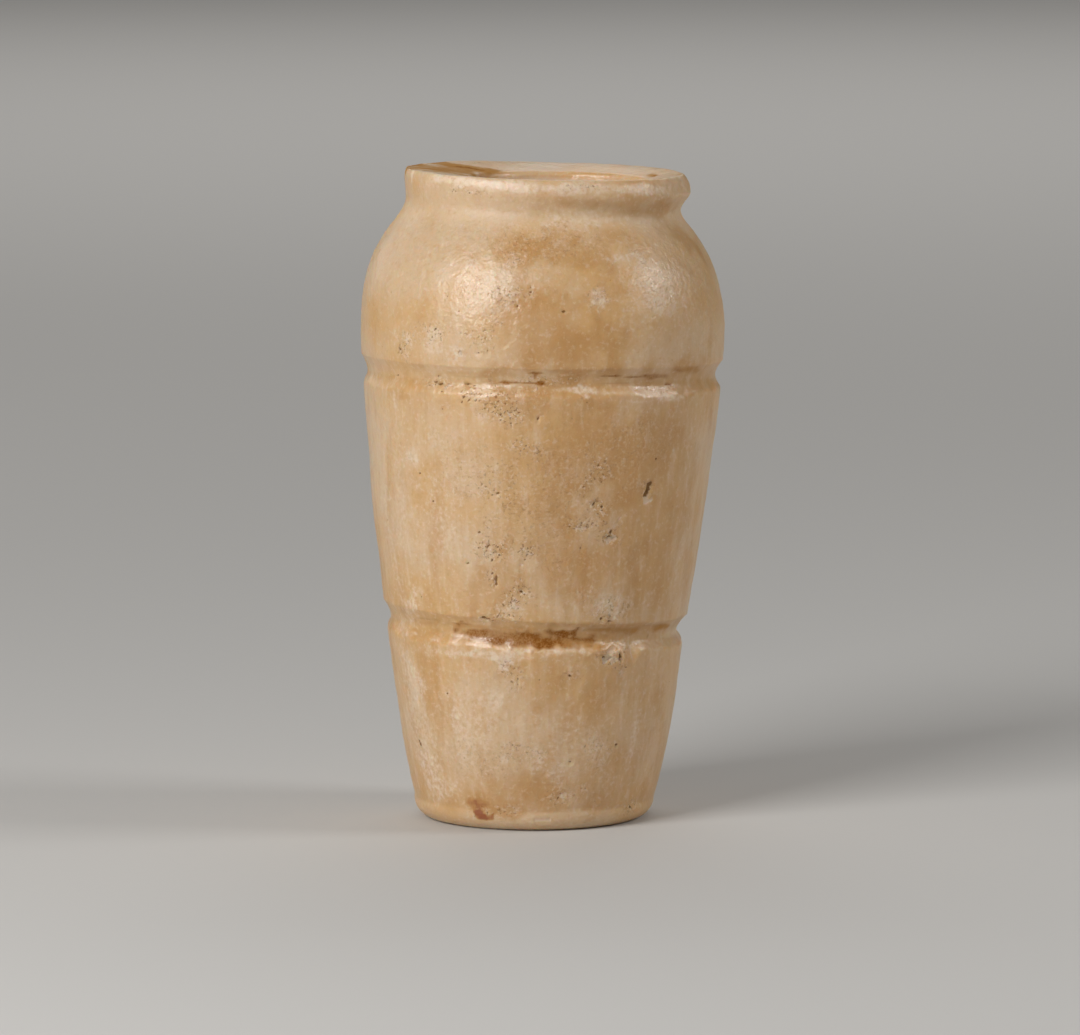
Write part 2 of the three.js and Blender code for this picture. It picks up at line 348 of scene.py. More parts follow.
# Fresh, pale facets where a flake has gone.
CHIPS = (
    Mark(648, 502, 4.2, 2.4, 0, 0.8),
    Mark(598, 507, 1.7, 1.7, 0, 0.7),
    Mark(611, 539, 4.6, 2.2, -10, 0.9),
    Mark(620, 520, 1.2, 4.8, 28, 0.7),
    Mark(582, 530, 3.4, 1.6, 0, 0.7),
    Mark(621, 526, 1.2, 3.0, 25, 0.5),
    Mark(611, 654, 1.9, 6.0, 25, 1.3),
    Mark(614, 655, 9.0, 7.0, 15, 0.35),
    Mark(616, 661, 3.0, 3.6, 0, 0.6),
    Mark(616, 642, 3.0, 2.0, 0, 0.5),
    Mark(631, 652, 1.6, 6.0, 0, 0.5),
    Mark(621, 672, 2.2, 3.0, 0, 0.5),
    Mark(602, 624, 2.0, 1.0, 0, 0.7),
    Mark(541, 417, 1.6, 1.4, 0, 0.5),
    Mark(541, 820, 6.0, 1.6, -5, 0.8),
    Mark(563, 795, 4.6, 3.2, 20, 0.5),
    Mark(600, 746, 3.4, 1.6, 20, 0.4),
    Mark(521, 566, 1.4, 1.2, 0, 0.7),
    Mark(468, 384, 1.0, 0.9, 0, 0.6),
    Mark(409, 163, 3.4, 3.0, 0, 0.8),
    Mark(411, 168, 2.6, 4.0, 0, 0.8),
)

# Pale, cloudy patches of the stone, and painted light: highlights on the roll of the rim, under the neck
# and on the shoulder, and partly painted light on the lower lips of the grooves and the left side.
PALE = (
    Mark(484, 419, 3.0, 4.0, 0, 0.7),
    Mark(416, 464, 6.0, 6.0, 0, 0.6),
    Mark(416, 487, 4.0, 9.0, 0, 0.5),
    Mark(440, 520, 22.0, 44.0, 0, 0.35),
    Mark(398, 470, 8.0, 60.0, 0, 0.3),
    Mark(435, 345, 12.0, 12.0, 0, 0.55),
    Mark(452, 354, 4.0, 9.0, -12, 0.5),
    Mark(431, 332, 5.0, 4.0, 0, 0.6),
    Mark(394, 343, 3.0, 10.0, 0, 0.5),
    Mark(395, 401, 2.0, 9.0, -10, 0.5),
    # Painted highlights on the shoulder, where the key and side softboxes shine back, each with a paler
    # halo.
    Mark(478, 290, 16.0, 20.0, 0, 0.55),
    Mark(495, 275, 14.0, 9.0, 0, 0.35),
    Mark(664, 291, 16.0, 20.0, 0, 0.55),
    Mark(640, 310, 18.0, 22.0, 0, 0.35),
    Mark(690, 300, 10.0, 30.0, 0, 0.3),
    Mark(598, 298, 4.4, 8.0, -10, 0.8),
    Mark(622, 258, 7.0, 5.0, 0, 0.7),
    Mark(557, 243, 5.0, 4.0, 0, 0.5),
    # Painted highlight: the pale band just under the neck, where its curve turns up to the key light.
    Mark(590, 218, 30.0, 6.0, 0, 0.5),
    Mark(570, 226, 24.0, 6.0, 0, 0.35),
    Mark(410, 220, 12.0, 12.0, 0, 0.3),
    # Painted highlights: the whitish band and glints along the roll of the rim, and the white left edge of
    # the rim.
    Mark(495, 185, 48.0, 5.0, 2, 0.95),
    Mark(455, 179, 30.0, 4.5, 0, 0.95),
    Mark(505, 183, 14.0, 3.0, 0, 0.7),
    Mark(540, 187, 12.0, 3.4, 0, 0.8),
    Mark(578, 189, 12.0, 4.0, 0, 0.8),
    Mark(600, 186, 10.0, 5.0, 20, 0.6),
    Mark(412, 172, 3.0, 9.0, 0, 0.9),
    Mark(430, 183, 10.0, 6.0, 0, 0.45),
    Mark(640, 190, 30.0, 4.0, 0, 0.75),
    Mark(685, 188, 8.0, 8.0, 0, 0.45),
    # Pale lower lip of the upper groove: worn stone, with painted light where the lip faces up to the
    # lamps.
    Mark(575, 390, 13.0, 2.2, 0, 0.8),
    Mark(605, 393, 13.0, 2.6, 0, 0.5),
    Mark(670, 399, 12.0, 2.8, 0, 0.9),
    Mark(640, 402, 14.0, 1.6, 8, 0.55),
    Mark(640, 410, 12.0, 1.4, 25, 0.35),
    Mark(610, 604, 14.0, 13.0, 0, 0.5),
    Mark(603, 600, 2.0, 12.0, 6, 0.5),
    Mark(618, 610, 1.6, 10.0, 8, 0.5),
    Mark(518, 610, 10.0, 9.0, 0, 0.6),
    Mark(648, 600, 5.0, 10.0, 0, 0.4),
    # Pale lower lip of the lower groove: worn, chipped stone, with painted light where the lip faces up to
    # the lamps.
    Mark(440, 650, 34.0, 5.0, -8, 0.5),
    Mark(490, 656, 26.0, 3.4, -4, 0.85),
    Mark(540, 651, 22.0, 3.0, 3, 0.7),
    Mark(575, 649, 20.0, 3.0, 5, 0.7),
    Mark(630, 645, 14.0, 6.0, 0, 0.4),
    Mark(410, 633, 12.0, 3.0, -10, 0.5),
    Mark(456, 722, 2.6, 10.0, 0, 0.75),
    Mark(496, 698, 4.0, 7.0, 0, 0.6),
    Mark(504, 760, 2.6, 3.4, 0, 0.8),
    Mark(470, 730, 16.0, 30.0, 0, 0.4),
    Mark(430, 775, 10.0, 22.0, -8, 0.5),
    Mark(444, 790, 12.0, 14.0, 0, 0.4),
    Mark(534, 762, 5.0, 12.0, 0, 0.5),
    Mark(545, 770, 8.0, 6.0, 0, 0.5),
    Mark(575, 750, 22.0, 26.0, 0, 0.35),
    Mark(600, 745, 10.0, 10.0, 0, 0.35),
    Mark(635, 735, 4.0, 18.0, 4, 0.6),
    Mark(630, 760, 5.0, 12.0, 8, 0.4),
    Mark(610, 780, 8.0, 16.0, 6, 0.35),
    Mark(650, 690, 6.0, 10.0, 0, 0.3),
    Mark(692, 440, 3.0, 26.0, 5, 0.35),
    Mark(680, 560, 5.0, 30.0, 5, 0.4),
    Mark(620, 520, 4.0, 8.0, 28, 0.4),
    # Painted light, partly the stone's cream: the broad paler band down the left side, which faces the key
    # light.
    Mark(415, 500, 30.0, 120.0, -2, 0.12),
    Mark(440, 720, 50.0, 60.0, -2, 0.2),
    # Painted highlight on the left edge of the rim.
    Mark(411, 174, 2.4, 12.0, 0, 1.0),
    Mark(412, 700, 18.0, 70.0, -6, 0.45),
    Mark(393, 560, 12.0, 70.0, -5, 0.35),
)

# Honey-brown patches of warmer stone, with painted shade on the upper flanks of the grooves and on the
# right side, away from the key light.
AMBER = (
    Mark(560, 250, 30.0, 16.0, 0, 0.6),
    Mark(525, 246, 20.0, 12.0, -10, 0.75),
    Mark(510, 256, 14.0, 8.0, 0, 0.6),
    Mark(610, 235, 10.0, 10.0, 0, 0.5),
    Mark(590, 262, 16.0, 10.0, 0, 0.5),
    Mark(520, 300, 14.0, 10.0, 0, 0.65),
    Mark(540, 330, 26.0, 34.0, 0, 0.7),
    Mark(575, 350, 20.0, 20.0, 0, 0.5),
    Mark(613, 352, 8.0, 12.0, 0, 0.7),
    Mark(704, 258, 5.0, 14.0, -20, 0.8),
    Mark(680, 235, 16.0, 14.0, 0, 0.7),
    Mark(655, 210, 30.0, 8.0, 0, 0.7),
    Mark(690, 215, 10.0, 8.0, 0, 0.6),
    Mark(590, 205, 30.0, 5.0, 0, 0.4),
    # Partly stain, partly painted shade on the upper flank of the upper groove.
    Mark(685, 370, 14.0, 8.0, 0, 0.8),
    Mark(712, 340, 5.0, 22.0, 0, 0.5),
    Mark(424, 304, 7.0, 8.0, 0, 0.4),
    Mark(398, 395, 14.0, 7.0, 0, 0.6),
    Mark(530, 408, 12.0, 18.0, 0, 0.5),
    Mark(560, 470, 20.0, 44.0, 0, 0.5),
    Mark(600, 455, 20.0, 30.0, 0, 0.5),
    Mark(640, 455, 26.0, 40.0, 0, 0.55),
    Mark(625, 498, 6.0, 6.0, 0, 0.8),
    Mark(600, 470, 6.0, 8.0, 0, 0.7),
    Mark(665, 430, 16.0, 24.0, 0, 0.6),
    Mark(560, 560, 16.0, 36.0, 0, 0.55),
    Mark(500, 580, 14.0, 28.0, 0, 0.5),
    Mark(590, 575, 12.0, 24.0, 0, 0.5),
    Mark(635, 585, 6.0, 22.0, 4, 0.7),
    Mark(665, 560, 10.0, 40.0, 5, 0.6),
    Mark(690, 500, 6.0, 40.0, 5, 0.5),
    # Partly the grooves' stain, partly painted shade on their upper flanks, which face down.
    Mark(640, 628, 34.0, 4.0, 3, 0.7),
    Mark(590, 626, 30.0, 3.0, 2, 0.5),
    Mark(500, 630, 30.0, 3.4, -3, 0.7),
    Mark(430, 624, 30.0, 2.4, -5, 0.5),
    Mark(560, 370, 50.0, 3.0, 0, 0.4),
    Mark(480, 374, 30.0, 3.0, 0, 0.5),
    Mark(545, 690, 16.0, 16.0, 0, 0.4),
    Mark(600, 700, 22.0, 18.0, 0, 0.4),
    Mark(660, 700, 8.0, 20.0, 0, 0.5),
    Mark(478, 800, 10.0, 9.0, 0, 0.8),
    Mark(520, 790, 20.0, 14.0, 0, 0.45),
    Mark(500, 812, 18.0, 5.0, 0, 0.6),
    Mark(645, 790, 8.0, 12.0, 0, 0.5),
    Mark(660, 176, 14.0, 4.0, 0, 0.6),
    # Painted shade, partly the stone's honey: the broad browner right side, away from the key light.
    Mark(655, 520, 56.0, 240.0, 2, 0.45),
    Mark(580, 480, 50.0, 120.0, 0, 0.3),
)

# Patches where the grain is full of pin-sized pits and bright specks.
PITTED = (
    Mark(510, 416, 14.0, 8.0, 0, 1.0),
    Mark(522, 446, 14.0, 7.0, 0, 0.8),
    Mark(468, 393, 8.0, 8.0, 0, 0.9),
    Mark(500, 400, 16.0, 6.0, 0, 0.5),
    Mark(440, 384, 9.0, 4.0, 0, 0.8),
    Mark(486, 548, 12.0, 9.0, 0, 1.0),
    Mark(497, 556, 10.0, 6.0, 0, 0.8),
    Mark(525, 555, 6.0, 7.0, 20, 0.9),
    Mark(494, 580, 4.0, 9.0, 0, 0.9),
    Mark(518, 600, 10.0, 10.0, 0, 1.0),
    Mark(514, 618, 8.0, 5.0, 0, 0.8),
    Mark(486, 620, 7.0, 4.0, -20, 0.7),
    Mark(599, 470, 6.0, 12.0, 10, 0.9),
    Mark(597, 506, 7.0, 6.0, 0, 1.0),
    Mark(584, 527, 9.0, 6.0, -20, 1.0),
    Mark(608, 536, 8.0, 5.0, -15, 0.9),
    Mark(648, 490, 5.0, 9.0, 0, 0.8),
    Mark(497, 494, 7.0, 5.0, 0, 0.7),
    Mark(470, 470, 30.0, 30.0, 0, 0.25),
    Mark(540, 500, 40.0, 60.0, 0, 0.3),
    Mark(608, 610, 10.0, 12.0, 0, 0.9),
    Mark(615, 657, 11.0, 10.0, 0, 1.0),
    Mark(516, 682, 5.0, 9.0, 0, 0.7),
    Mark(572, 676, 5.0, 5.0, 0, 0.7),
    Mark(520, 750, 12.0, 10.0, 0, 0.5),
    Mark(563, 797, 8.0, 7.0, 20, 0.7),
    Mark(600, 748, 14.0, 10.0, 0, 0.5),
    Mark(480, 760, 24.0, 16.0, 0, 0.35),
    Mark(432, 335, 12.0, 10.0, 0, 0.7),
    Mark(400, 348, 6.0, 7.0, 0, 0.8),
    Mark(484, 340, 8.0, 14.0, 0, 0.5),
    Mark(500, 292, 9.0, 7.0, 0, 0.5),
    Mark(476, 290, 20.0, 20.0, 0, 0.15),
    Mark(664, 294, 18.0, 18.0, 0, 0.3),
    Mark(598, 296, 8.0, 10.0, 0, 0.5),
    Mark(560, 240, 34.0, 16.0, 0, 0.4),
    Mark(465, 192, 14.0, 3.0, 3, 0.7),
    Mark(590, 186, 14.0, 3.0, 0, 0.6),
    Mark(535, 380, 16.0, 4.0, 0, 0.7),
    Mark(640, 440, 24.0, 30.0, 0, 0.3),
    Mark(420, 750, 6.0, 8.0, 0, 0.5),
    Mark(483, 812, 12.0, 6.0, 0, 0.8),
    Mark(632, 806, 10.0, 8.0, 0, 0.9),
)

# Brown patches on the top of the lip and along the right of the grooves: stains, with painted shade on the
# left of the lip, in the left of the bore and on the grooves' upper flanks, and a painted shade line along
# the front edge of the lip.
BROWN = (
    # Partly stain, partly painted shade: the olive-brown left of the lip and the shaded left wall of the
    # bore.
    Mark(446, 165, 34.0, 24.0, 0, 1.0),
    Mark(472, 166, 14.0, 22.0, -10, 1.0),
    Mark(497, 170, 14.0, 8.0, 0, 0.6),
    Mark(466, 163, 18.0, 14.0, 0, 0.9),
    Mark(654, 172, 12.0, 8.0, 0, 1.0),
    Mark(664, 175, 12.0, 5.0, 0, 1.0),
    # Partly stain, partly painted shade on the left of the lip.
    Mark(432, 164, 20.0, 18.0, 0, 1.0),
    # Partly dirt, partly painted shade on the upper flanks of the grooves.
    Mark(664, 627, 20.0, 4.0, 4, 0.7),
    Mark(610, 631, 24.0, 3.0, 2, 0.6),
    Mark(470, 627, 20.0, 2.6, -4, 0.5),
    Mark(690, 370, 14.0, 4.0, 8, 0.6),
    # Painted shade: a thin dark line along the front edge of the lip, where it hides the bore.
    Mark(600, 178, 60.0, 1.0, 0, 0.4),
)


def curve_through(*levels):
    """A smooth curve through (height, value) or (height, value, slope) levels, with no overshoot."""
    heights = np.array([level[0] for level in levels], float)
    values = np.array([level[1] for level in levels], float)
    steps = np.diff(values) / np.diff(heights)
    slopes = []
    for i, level in enumerate(levels):
        below = steps[max(i - 1, 0)]
        above = steps[min(i, len(steps) - 1)]
        smooth = 2 * below * above / (below + above) if below * above > 0 else 0.0
        slopes.append(level[2] if len(level) > 2 else smooth)
    slopes = np.array(slopes)

    def at(height):
        height = np.asarray(height, float)
        i = np.clip(np.searchsorted(heights, height) - 1, 0, len(steps) - 1)
        span = heights[i + 1] - heights[i]
        t = np.clip((height - heights[i]) / span, 0, 1)
        start = (1 + 2 * t) * (1 - t) ** 2 * values[i] + t * (1 - t) ** 2 * span * slopes[i]
        end = t * t * (3 - 2 * t) * values[i + 1] + t * t * (t - 1) * span * slopes[i + 1]
        return start + end

    return at


wall_radius = curve_through(
    (FOOT_EDGE, FOOT_RADIUS, FOOT_SLOPE),
    (LOWER_GROOVE, LOWER_GROOVE_RADIUS),
    (UPPER_GROOVE, UPPER_GROOVE_RADIUS),
    (BELLY, BELLY_RADIUS, 0),
    (SHOULDER, SHOULDER_RADIUS, SHOULDER_SLOPE),
    (NECK, NECK_RADIUS, 0),
    (ROLL, ROLL_RADIUS, 0),
)
wall_shift = curve_through(
    (0, 0),
    (LOWER_GROOVE, LOWER_GROOVE_SHIFT),
    (BELLY, BELLY_SHIFT),
    (SHOULDER, SHOULDER_SHIFT),
    (NECK, NECK_SHIFT),
    (ROLL, ROLL_SHIFT),
    (CROWN, CROWN_SHIFT),
)
wall_dip = curve_through(
    (0, 0),
    (LOWER_GROOVE, LOWER_GROOVE_DIP),
    (UPPER_GROOVE, UPPER_GROOVE_DIP),
    (SHOULDER, SHOULDER_DIP),
    (NECK, NECK_DIP),
    (ROLL, ROLL_DIP),
)
wall_lift = curve_through(
    (0, 0), (LOWER_GROOVE, LOWER_GROOVE_LIFT), (UPPER_GROOVE, UPPER_GROOVE_LIFT), (NECK, 0),
)
hollow_radius = curve_through(
    (FLOOR_EDGE, float(wall_radius(FLOOR_EDGE)) - FOOT_WALL),
    (LOWER_GROOVE, LOWER_GROOVE_RADIUS - GROOVE_WALL),
    (BELLY, BELLY_RADIUS - BELLY_WALL, 0),
    (BORE_END, BORE_RADIUS, 0),
)
hollow_shift = curve_through((FLOOR, 0), (BELLY, BELLY_SHIFT), (BORE_END, BORE_SHIFT))
hollow_dip = curve_through((BELLY, 0), (BORE_END, CROWN_DIP))


def turns_of_columns():
    """The angle of each column, closer together at the front, where -Y is at minus a quarter."""
    even = np.linspace(0, FULL_TURN, COLUMNS, endpoint=False)
    return even + FRONT_CLOSENESS * np.sin(even) + QUARTER


TURNS = turns_of_columns()


def smooth_step(value, low, high):
    """0 below low and 1 above high, smooth in between."""
    t = np.clip((value - low) / (high - low), 0, 1)
    return t * t * (3 - 2 * t)


def mix(first, second, share):
    """The first where the share is 0, and the second where it is 1."""
    return first + (second - first) * share


def rows_between(first, last, step):
    """Evenly spaced heights after the first, up to and with the last."""
    count = max(1, round(abs(last - first) / step))
    return np.linspace(first, last, count + 1)[1:]


def wander(seed, size):
    """A slow, seamless wave round the jar, from about -1 to 1."""
    reach = BELLY_RADIUS / size
    around = [Vector((math.cos(t) * reach, math.sin(t) * reach, seed)) for t in TURNS]
    return np.array([2 * noise.noise(point) for point in around])


def groove_cut(height, groove):
    """Depth of a groove at each height and turn: a clear upper edge and a soft, wavy lower side."""
    s = (height - groove.height) / (groove.width / 2)
    s = np.where(s < 0, s * (1 + groove.wander * 0.35 * wander(groove.seed, 9)), s)
    upper = 1 - np.clip(s, 0, 1) ** GROOVE_HOLLOW
    lower = np.cos(np.clip(s, -1, 0) * QUARTER) ** 2
    ragged = 1 + 0.08 * wander(groove.seed + 5, 6)
    return groove.depth * ragged * np.where(s > 0, upper, lower) * (np.abs(s) < 1)


def level_rows(radius, height, shift, dip=0.0, lift=0.0, uneven=0.0):
    """Points of level lines: a row for each height, and a column for each turn round the jar."""
    radius, height, shift, dip, lift, uneven = (
        np.asarray(value, float).reshape(-1, 1) if np.ndim(value) < 2 else value
        for value in (radius, height, shift, dip, lift, uneven)
    )
    oval = OVAL_SHARE * np.sin(2 * TURNS)
    wave = WAVE_SHARE * np.sin(WAVES_ROUND * TURNS + height / WAVE_TURN_HEIGHT * FULL_TURN)
    reach = radius * (1 + uneven * (oval + wave))
    east = reach * np.cos(TURNS)
    north = reach * np.sin(TURNS)
    up = height - east * np.tan(np.radians(dip)) - north * np.tan(np.radians(lift))
    return np.stack(np.broadcast_arrays(shift + east, north, up), axis=-1)


def underside_rows():
    """The flat underside and the rounded edge of the foot."""
    flat = level_rows([12, 24, 32, FOOT_FLAT_RADIUS], 0, 0)
    turn = rows_between(0, QUARTER, QUARTER / 9)
    radius = mix(FOOT_FLAT_RADIUS, FOOT_RADIUS, np.sin(turn))
    height = FOOT_EDGE * (1 - np.cos(turn))
    edge = level_rows(
        radius, height, wall_shift(height), wall_dip(height), wall_lift(height), height / FOOT_EDGE
    )
    return [flat, edge]


def wall_rows():
    """The outside from the foot to the widest line of the rim, with close rows in the grooves."""
    low, high = GROOVES
    stops = (
        (low.height - low.width / 2, WALL_STEP),
        (low.height + low.width / 2, GROOVE_STEP),
        (high.height - high.width / 2, WALL_STEP),
        (high.height + high.width / 2, GROOVE_STEP),
        (SHOULDER, SHOULDER_STEP),
        (ROLL, NECK_STEP),
    )
    heights = []
    start = FOOT_EDGE
    for stop, step in stops:
        heights.extend(rows_between(start, stop, step))
        start = stop
    height = np.array(heights).reshape(-1, 1)
    cut = sum(groove_cut(height, groove) for groove in GROOVES)
    radius = wall_radius(height) - cut
    shift = wall_shift(height) - cut * GROOVE_BIAS
    return [level_rows(radius, height, shift, wall_dip(height), wall_lift(height), 1)]


def lip_rows():
    """Over the rolled rim to its crown, then down the slope of the lip and the edge of the bore."""
    turn = rows_between(0, QUARTER, QUARTER / 11)
    over = level_rows(
        mix(CROWN_RADIUS, ROLL_RADIUS, np.cos(turn)),
        mix(ROLL, CROWN, np.sin(turn)),
        mix(CROWN_SHIFT, ROLL_SHIFT, np.cos(turn)),
        mix(CROWN_DIP, ROLL_DIP, np.cos(turn)),
        0,
        1,
    )
    share = rows_between(0, 1, 1 / 12)
    inward = level_rows(
        mix(CROWN_RADIUS, BORE_RADIUS + BORE_BEVEL, share),
        CROWN - (CROWN - BORE_EDGE) * share ** LIP_HOLLOW,
        mix(CROWN_SHIFT, BORE_SHIFT, share),
        CROWN_DIP,
        0,
        1 - share,
    )
    turn = rows_between(0, QUARTER, QUARTER / 5)
    radius = BORE_RADIUS + BORE_BEVEL * (1 - np.sin(turn))
    edge = level_rows(radius, BORE_EDGE - BORE_BEVEL * (1 - np.cos(turn)), BORE_SHIFT, CROWN_DIP)
    return [over, inward, edge]


def hollow_rows():
    """The inside, from the bore down to the rounded floor."""
    bore = level_rows(BORE_RADIUS, rows_between(BORE_TOP, BORE_END, BORE_STEP), BORE_SHIFT, CROWN_DIP)
    upper = rows_between(BORE_END, BELLY, SHOULDER_HOLLOW_STEP)
    lower = rows_between(BELLY, FLOOR_EDGE, HOLLOW_STEP)
    height = np.concatenate([upper, lower])
    wall = level_rows(hollow_radius(height), height, hollow_shift(height), hollow_dip(height))
    turn = rows_between(0, QUARTER, QUARTER / 5)
    radius = float(hollow_radius(FLOOR_EDGE)) - FLOOR_ROUNDING * (1 - np.cos(turn))
    height = FLOOR_EDGE - FLOOR_ROUNDING * np.sin(turn)
    return [bore, wall, level_rows(radius, height, hollow_shift(height))]


def unit(vectors):
    """The vectors with a length of 1."""
    return vectors / np.maximum(np.linalg.norm(vectors, axis=-1, keepdims=True), 1e-9)


class Skin:
    """The surface of the stone as rows and columns of points, and what is laid on it."""

    def __init__(self):
        blocks = {
            "foot": underside_rows(),
            "wall": wall_rows(),
            "lip": lip_rows(),
            "hollow": hollow_rows(),
        }
        self.points = np.concatenate([rows for block in blocks.values() for rows in block])
        names = [name for name, block in blocks.items() for rows in block for _ in rows]
        self.zone = np.array(names).reshape(-1, 1)
        around = np.roll(self.points, -1, axis=1) - np.roll(self.points, 1, axis=1)
        along = np.gradient(self.points, axis=0)
        self.normal = unit(np.cross(around, along))
        steps = np.linalg.norm(np.diff(self.points, axis=0), axis=-1).mean(axis=1)
        self.rise = np.concatenate([[0.0], np.cumsum(steps)]).reshape(-1, 1)
        middle = self.points.mean(axis=1, keepdims=True)
        self.reach = np.linalg.norm((self.points - middle)[..., :2], axis=-1)
        self.depth = np.zeros(self.reach.shape)
        self.layers = {}

    def rough(self, size, seed, octaves=3, upright=1.0):
        """Seeded noise of about -1 to 1, with lumps of that size in millimetres."""
        scale = np.array([1, 1, 1 / upright]) / size
        places = (self.points * scale + np.array([seed * 7.3, seed * 3.1, seed * 5.7])).reshape(-1, 3)
        values = [noise.fractal(Vector(place), 1.0, 2.0, octaves) for place in places]
        return 1.6 * np.array(values).reshape(self.reach.shape)

    def place(self, x, y):
        """The turn and the rise of the nearest point that the photograph shows at a pixel."""
        forward = np.array([0, math.cos(CAMERA_PITCH), -math.sin(CAMERA_PITCH)])
        up = np.array([0, math.sin(CAMERA_PITCH), math.cos(CAMERA_PITCH)])
        right = np.array([1.0, 0, 0])
        across = (x - PHOTO_WIDTH / 2) / FOCAL_PIXELS
        above = (PHOTO_HEIGHT / 2 - y) / FOCAL_PIXELS
        ray = unit(forward + right * across + up * above)
        to = self.points - np.array(CAMERA_AT)
        far = to @ ray
        miss = np.linalg.norm(to - far[..., None] * ray, axis=-1)
        seen = (self.normal @ ray < 0) & (miss < 2.0)
        seen &= far < np.min(far, where=seen, initial=np.inf) + 8
        row, column = np.unravel_index(np.argmin(np.where(seen, miss, np.inf)), miss.shape)
        return TURNS[column], self.rise[row, 0]

    def apart(self, turn, rise, mark):
        """How far each point is from a mark: 1 on its edge, and beyond its edge in millimetres."""
        swing = (TURNS - turn + math.pi) % FULL_TURN - math.pi
        right = swing * self.reach
        up = self.rise - rise
        lean = math.radians(mark.turn)
        across = (right * math.cos(lean) - up * math.sin(lean)) / (mark.across / 2)
        along = (right * math.sin(lean) + up * math.cos(lean)) / (mark.along / 2)
        share = np.hypot(across, along)
        return share, (share - 1) * min(mark.across, mark.along) / 2

    def lay(self, name, values):
        """Adds to a layer, which never passes 1."""
        under = self.layers.get(name, np.zeros(self.reach.shape))
        self.layers[name] = 1 - (1 - under) * (1 - np.clip(values, 0, 1))


def lay_patches(skin, name, marks, ragged):
    """Soft patches with a broken outline."""
    for mark in marks:
        share, _ = skin.apart(*skin.place(mark.x, mark.y), mark)
        share = share * (1 + PATCH_RAG * ragged)
        skin.lay(name, mark.strength * (1 - smooth_step(share, *PATCH_FADE)))


def sink_pits(skin, places, depth, ragged):
    """Cuts pits into the stone, and notes how far inside a pit each point is for the finish."""
    field = skin.layers.get("pits", np.zeros(skin.reach.shape))
    for turn, rise, mark in places:
        share, beyond = skin.apart(turn, rise, mark)
        inside = 0.5 - (beyond + PIT_RAG * ragged) / PIT_SPREAD - 0.12 * (1 - mark.strength)
        field = np.maximum(field, np.clip(inside, 0, 1))
        size = min(mark.across, mark.along)
        skin.depth += mark.strength * min(depth, size) * (1 - smooth_step(share, *PIT_FADE))
    skin.layers["pits"] = field


def break_chips(skin, marks, depth, ragged, facets):
    """Takes flakes out of the surface, each with a hard broken floor."""
    for mark in marks:
        share, _ = skin.apart(*skin.place(mark.x, mark.y), mark)
        share = share * (1 + CHIP_RAG * ragged)
        inside = 1 - smooth_step(share, *CHIP_FADE)
        skin.lay("chips", mark.strength * inside)
        skin.depth += mark.strength * depth * inside * (1 + 0.7 * facets)


def scattered(skin, count, seed):
    """Small pits all round the wall, thicker at the back, where the photograph doesn't reach."""
    draw = np.random.default_rng(seed)
    rows = np.nonzero(skin.zone[:, 0] == "wall")[0]
    for _ in range(count):
        turn = QUARTER + draw.normal(0, 1.25)
        row = draw.choice(rows)
        size = draw.uniform(0.5, 1.3)
        along = size * draw.uniform(0.7, 2.2)
        mark = Mark(0, 0, size, along, draw.uniform(-40, 40), draw.uniform(0.4, 0.9))
        yield turn, skin.rise[row, 0], mark


